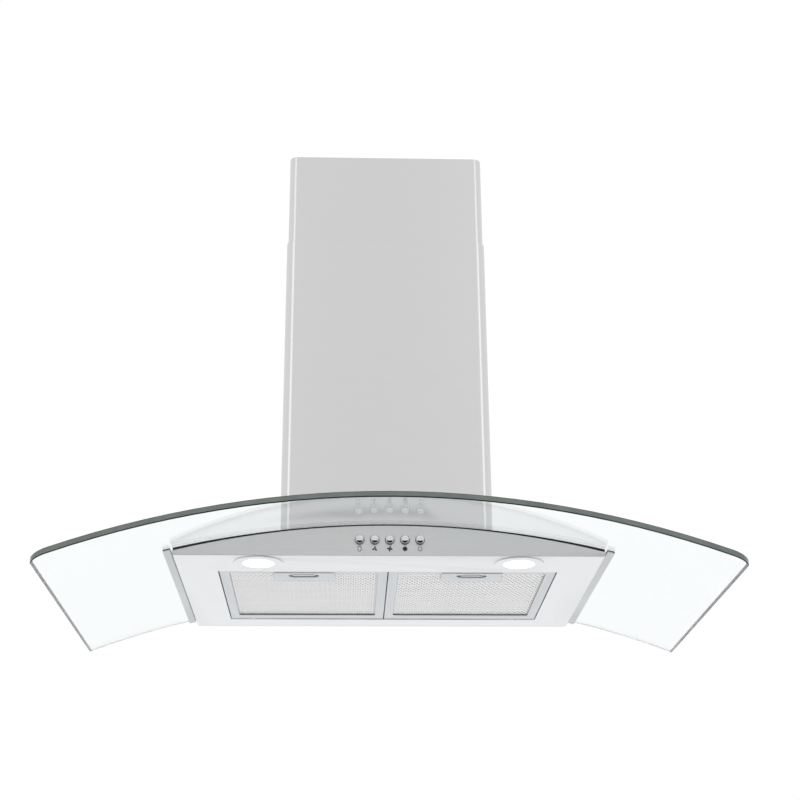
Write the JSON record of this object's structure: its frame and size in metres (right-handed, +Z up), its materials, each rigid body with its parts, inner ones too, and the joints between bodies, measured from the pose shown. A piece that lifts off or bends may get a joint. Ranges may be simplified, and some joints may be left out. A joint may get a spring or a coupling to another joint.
{
  "type": "wall chimney range hood",
  "caption": "Wall-mounted chimney range hood with a bent glass canopy, push-buttons, two lamps, swing-down grease filters, blower with damper and a telescopic chimney cover.",
  "frame": {"origin": "on the wall plane, centred left to right, at the height of the hood's underside", "axes": "+X to the right as seen from the front, +Y into the wall, +Z up"},
  "size_m": [0.898, 0.5, 0.7313],
  "materials": {
    "stainless_brushed": "horizontally brushed stainless steel",
    "stainless_satin": "satin stainless sheet",
    "canopy_glass": "clear tempered glass, green-grey at the edges",
    "black_rubber": "matt EPDM",
    "rail_aluminium": "satin anodised",
    "filter_aluminium": "rolled and expanded aluminium",
    "galvanised": "zinc-coated sheet",
    "chrome_trim": "polished chrome",
    "fastener_zinc": "zinc-plated screws and nuts",
    "lamp_lens": "frosted acrylic",
    "lamp_shell": "pressed aluminium",
    "circuit_board": "white solder mask",
    "black_plastic": "moulded ABS",
    "grey_plastic": "moulded polypropylene",
    "white_plastic": "moulded nylon",
    "motor_paint": "black motor lacquer"
  },
  "bodies": {
    "hood": {"glass_canopy": "canopy_glass", "hood_body": "stainless_satin", "front_panel": "stainless_brushed", "lower_chimney": "stainless_brushed", "back_wall": "galvanised", "cross_member_left": "galvanised", "cross_member_right": "galvanised", "bay_angles": "galvanised", "centre_bar": "galvanised", "blower_box": "galvanised", "wall_bracket": "galvanised", "cover_clips": "galvanised", "motor_bracket": "galvanised", "switch_bracket": "galvanised", "front_seal": "black_rubber", "glass_gaskets": "black_rubber", "bolt_sleeves": "black_rubber", "side_rail_left": "rail_aluminium", "side_rail_right": "rail_aluminium", "outlet_collar": "grey_plastic", "clamp_frame": "grey_plastic", "volute_left": "grey_plastic", "volute_right": "grey_plastic", "lamp_ring_left": "stainless_satin", "lamp_ring_right": "stainless_satin", "lamp_lens_left": "lamp_lens", "lamp_lens_right": "lamp_lens", "lamp_can_left": "lamp_shell", "lamp_can_right": "lamp_shell", "led_board_left": "circuit_board", "led_board_right": "circuit_board", "switch_block": "black_plastic", "cable_gland": "black_plastic", "glass_bolts": "fastener_zinc", "glass_nuts": "fastener_zinc", "damper_pins": "fastener_zinc", "motor": "motor_paint", "terminal_box": "white_plastic", "terminal_lid": "white_plastic", "capacitor": "white_plastic"},
    "upper_cover": {"upper_chimney": "stainless_brushed", "upper_hanger": "galvanised", "upper_screws": "fastener_zinc"},
    "filter_left": {"filter_frame_left": "filter_aluminium", "filter_mesh_left": "filter_aluminium", "latch_cover_left": "stainless_satin"},
    "filter_right": {"filter_frame_right": "filter_aluminium", "filter_mesh_right": "filter_aluminium", "latch_cover_right": "stainless_satin"},
    "latch_left": {"latch_slide_left": "grey_plastic"},
    "latch_right": {"latch_slide_right": "grey_plastic"},
    "rotor": {"impeller": "black_plastic", "rotor_shaft": "fastener_zinc"},
    "flap_front": {"damper_flap_front": "grey_plastic"},
    "flap_rear": {"damper_flap_rear": "grey_plastic"},
    "push_lamp": {"button_lamp": "chrome_trim"},
    "push_low": {"button_low": "chrome_trim"},
    "push_medium": {"button_medium": "chrome_trim"},
    "push_high": {"button_high": "chrome_trim"},
    "push_stop": {"button_stop": "chrome_trim"}
  },
  "joints": [
    {"name": "cover_slide", "type": "slide", "parent": "hood", "child": "upper_cover", "axis": [0, 0, 1], "range_m": [-0.148, 0.28]},
    {"name": "press_lamp", "type": "slide", "parent": "hood", "child": "push_lamp", "axis": [0, 1, 0], "range_m": [0, 0.003], "stiffness_N_per_m": 300, "springref_m": -0.003},
    {"name": "press_low", "type": "slide", "parent": "hood", "child": "push_low", "axis": [0, 1, 0], "range_m": [0, 0.003], "stiffness_N_per_m": 300, "springref_m": -0.003},
    {"name": "press_medium", "type": "slide", "parent": "hood", "child": "push_medium", "axis": [0, 1, 0], "range_m": [0, 0.003], "stiffness_N_per_m": 300, "springref_m": -0.003},
    {"name": "press_high", "type": "slide", "parent": "hood", "child": "push_high", "axis": [0, 1, 0], "range_m": [0, 0.003], "stiffness_N_per_m": 300, "springref_m": -0.003},
    {"name": "press_stop", "type": "slide", "parent": "hood", "child": "push_stop", "axis": [0, 1, 0], "range_m": [0, 0.003], "stiffness_N_per_m": 300, "springref_m": -0.003},
    {"name": "filter_left_swing", "type": "hinge", "parent": "hood", "child": "filter_left", "pos_m": [-0.11525, -0.046, 0.0015], "axis": [1, 0, 0], "range_deg": [0, 75]},
    {"name": "latch_left_slide", "type": "slide", "parent": "filter_left", "child": "latch_left", "axis": [0, -1, 0], "range_m": [0, 0.005]},
    {"name": "filter_right_swing", "type": "hinge", "parent": "hood", "child": "filter_right", "pos_m": [0.11525, -0.046, 0.0015], "axis": [1, 0, 0], "range_deg": [0, 75]},
    {"name": "latch_right_slide", "type": "slide", "parent": "filter_right", "child": "latch_right", "axis": [0, -1, 0], "range_m": [0, 0.005]},
    {"name": "fan_spin", "type": "hinge", "parent": "hood", "child": "rotor", "pos_m": [0, -0.121, 0.165], "axis": [1, 0, 0], "continuous": true},
    {"name": "flap_front_swing", "type": "hinge", "parent": "hood", "child": "flap_front", "pos_m": [0, -0.104, 0.3243], "axis": [-1, 0, 0], "range_deg": [0, 80]},
    {"name": "flap_rear_swing", "type": "hinge", "parent": "hood", "child": "flap_rear", "pos_m": [0, -0.096, 0.3243], "axis": [1, 0, 0], "range_deg": [0, 80]}
  ]
}
